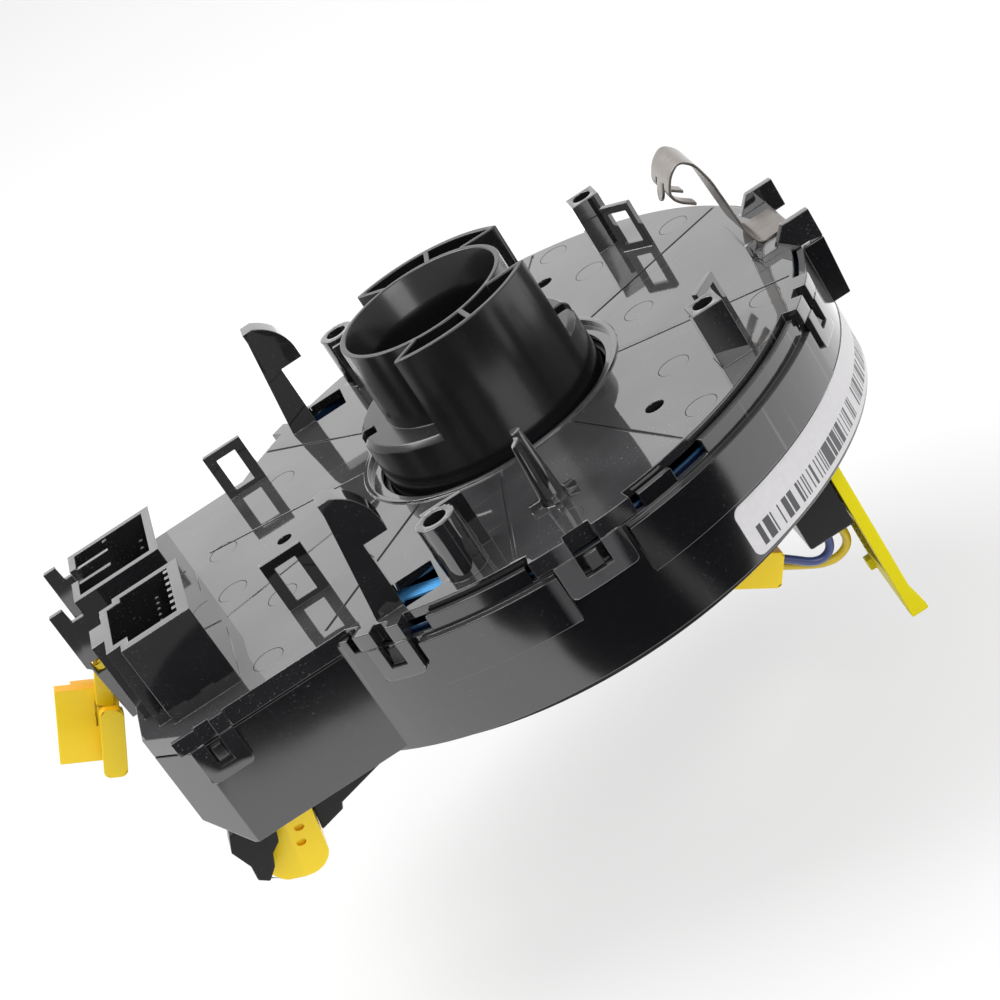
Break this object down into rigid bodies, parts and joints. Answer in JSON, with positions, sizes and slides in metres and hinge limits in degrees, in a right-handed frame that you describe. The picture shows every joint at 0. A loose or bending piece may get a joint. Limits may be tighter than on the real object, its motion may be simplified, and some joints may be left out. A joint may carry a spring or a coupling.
{
  "type": "steering clock spring",
  "caption": "Steering clock spring: a drum fixed to the column with plug sockets, and a rotor with a wound flat cable that keeps the wheel's wiring joined as it turns.",
  "frame": {"origin": "on the steering axis, in the top face of the cover plate", "axes": "+Z along the steering axis towards the column side, -X towards the lobe with the plug sockets, +Y across the plate, away from the picture's camera"},
  "size_m": [0.1524, 0.1186, 0.0827],
  "materials": {
    "plate_black": "high gloss moulded, fine scratches",
    "case_black": "gloss moulded",
    "hub_black": "gloss moulded",
    "rotor_black": "satin moulded",
    "block_black": "satin moulded",
    "pin_tin": "tin plated",
    "cable_blue": "smooth film",
    "glide_film": "smooth film",
    "clip_steel": "rolled, warm grey, satin",
    "label_white": "printed film, satin",
    "plug_yellow": "satin moulded",
    "lead_yellow": "smooth wire cover",
    "lead_blue": "smooth wire cover",
    "lock_green": "satin moulded",
    "key_yellow": "satin moulded"
  },
  "bodies": {
    "stator": {"cover_plate": "plate_black", "outer_case": "case_black", "front_socket_pins": "pin_tin", "back_socket_pins": "pin_tin", "terminal_block": "block_black", "flat_cable": "cable_blue", "glide_sheet": "glide_film", "leaf_clip": "clip_steel", "label": "label_white", "column_plug": "plug_yellow"},
    "rotor": {"hub_sleeve": "hub_black", "rotor_disc": "rotor_black", "wheel_socket_pins": "pin_tin", "rotor_terminal": "block_black", "lead_block": "block_black", "lead_yellow": "lead_yellow", "lead_blue": "lead_blue", "airbag_plug_right": "plug_yellow", "lead_arm": "block_black", "airbag_plug_left": "plug_yellow", "plug_clamp": "block_black", "plug_lock": "lock_green"},
    "lock_key": {"lock_key": "key_yellow"}
  },
  "joints": [
    {"name": "rotor_turn", "type": "hinge", "parent": "stator", "child": "rotor", "pos_m": [0, 0, 0], "axis": [0, 0, 1], "range_deg": [-900, 900]},
    {"name": "key_pull", "type": "slide", "parent": "rotor", "child": "lock_key", "axis": [0, 0, -1], "range_m": [0, 0.014]}
  ]
}
